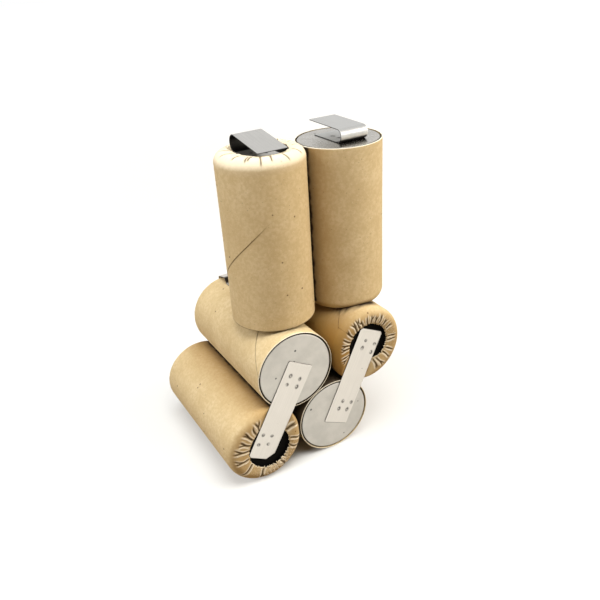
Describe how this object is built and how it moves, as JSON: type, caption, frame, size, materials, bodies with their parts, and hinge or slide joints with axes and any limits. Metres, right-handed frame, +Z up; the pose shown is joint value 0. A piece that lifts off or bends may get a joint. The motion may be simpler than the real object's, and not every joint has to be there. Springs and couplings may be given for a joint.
{
  "type": "battery pack of cylindrical cells",
  "caption": "Battery pack of paper-sleeved cylindrical cells joined in series by welded nickel strips, with folded output tabs on the standing cells.",
  "frame": {"origin": "on the surface that the pack stands on, under the middle of its box", "axes": "+Z up; the lying cells run along Y with the front faces towards -Y; +X to the right seen from the front"},
  "size_m": [0.0582, 0.0458, 0.0897],
  "materials": {
    "kraft_paper": "matte kraft paper",
    "can_steel": "satin nickel plate",
    "cap_steel": "satin nickel plate",
    "nickel": "rolled nickel strip",
    "nylon": "moulded",
    "vent_rubber": "matte",
    "spring_wire": "drawn wire",
    "washer_fibre": "dark fibre",
    "positive_plate": "sintered",
    "negative_plate": "sintered",
    "separator": "non-woven sheet",
    "insulator": "sheet"
  },
  "bodies": {
    "pack": {"cell_1_sleeve": "kraft_paper", "cell_1_can": "can_steel", "cell_1_gasket": "nylon", "cell_1_lid": "can_steel", "cell_1_cap": "cap_steel", "cell_2_sleeve": "kraft_paper", "cell_2_can": "can_steel", "cell_2_gasket": "nylon", "cell_2_lid": "can_steel", "cell_2_cap": "cap_steel", "cell_3_sleeve": "kraft_paper", "cell_3_can": "can_steel", "cell_3_gasket": "nylon", "cell_3_lid": "can_steel", "cell_3_cap": "cap_steel", "cell_4_sleeve": "kraft_paper", "cell_4_can": "can_steel", "cell_4_gasket": "nylon", "cell_4_lid": "can_steel", "cell_4_cap": "cap_steel", "cell_5_sleeve": "kraft_paper", "cell_5_can": "can_steel", "cell_5_gasket": "nylon", "cell_5_lid": "can_steel", "cell_5_cap": "cap_steel", "cell_6_sleeve": "kraft_paper", "cell_6_can": "can_steel", "cell_6_gasket": "nylon", "cell_6_lid": "can_steel", "cell_6_cap": "cap_steel", "vent_springs": "spring_wire", "insulating_washers": "washer_fibre", "positive_plates": "positive_plate", "negative_plates": "negative_plate", "separators": "separator", "positive_collectors": "nickel", "negative_collectors": "nickel", "collector_leads": "nickel", "winding_insulators": "insulator", "link_1_2": "nickel", "link_2_3": "nickel", "link_3_4": "nickel", "link_4_5": "nickel", "link_5_6": "nickel", "positive_tab_foot": "nickel", "positive_tab_bend": "nickel", "negative_tab_foot": "nickel", "negative_tab_bend": "nickel"},
    "vent_valve_1": {"cell_1_vent_valve": "vent_rubber"},
    "vent_valve_2": {"cell_2_vent_valve": "vent_rubber"},
    "vent_valve_3": {"cell_3_vent_valve": "vent_rubber"},
    "vent_valve_4": {"cell_4_vent_valve": "vent_rubber"},
    "vent_valve_5": {"cell_5_vent_valve": "vent_rubber"},
    "vent_valve_6": {"cell_6_vent_valve": "vent_rubber"},
    "positive_tab": {"positive_tab_leaf": "nickel"},
    "negative_tab": {"negative_tab_leaf": "nickel"}
  },
  "joints": [
    {"name": "vent_1", "type": "slide", "parent": "pack", "child": "vent_valve_1", "axis": [0, 0, 1], "range_m": [0, 0.0004], "stiffness_N_per_m": 400, "deforming": ["vent_springs"]},
    {"name": "vent_2", "type": "slide", "parent": "pack", "child": "vent_valve_2", "axis": [0, 1, 0], "range_m": [0, 0.0004], "stiffness_N_per_m": 400, "deforming": ["vent_springs"]},
    {"name": "vent_3", "type": "slide", "parent": "pack", "child": "vent_valve_3", "axis": [0, -1, 0], "range_m": [0, 0.0004], "stiffness_N_per_m": 400, "deforming": ["vent_springs"]},
    {"name": "vent_4", "type": "slide", "parent": "pack", "child": "vent_valve_4", "axis": [0, 1, 0], "range_m": [0, 0.0004], "stiffness_N_per_m": 400, "deforming": ["vent_springs"]},
    {"name": "vent_5", "type": "slide", "parent": "pack", "child": "vent_valve_5", "axis": [0, -1, 0], "range_m": [0, 0.0004], "stiffness_N_per_m": 400, "deforming": ["vent_springs"]},
    {"name": "vent_6", "type": "slide", "parent": "pack", "child": "vent_valve_6", "axis": [0, 0, -1], "range_m": [0, 0.0004], "stiffness_N_per_m": 400, "deforming": ["vent_springs"]},
    {"name": "positive_tab_fold", "type": "hinge", "parent": "pack", "child": "positive_tab", "pos_m": [-0.00498, -0.0026, 0.08749], "axis": [-1, 0, 0], "range_deg": [0, 150], "deforming": ["positive_tab_bend"]},
    {"name": "negative_tab_fold", "type": "hinge", "parent": "pack", "child": "negative_tab", "pos_m": [0.01843, -0.0127, 0.08699], "axis": [1, 0, 0], "range_deg": [0, 150], "deforming": ["negative_tab_bend"]}
  ]
}
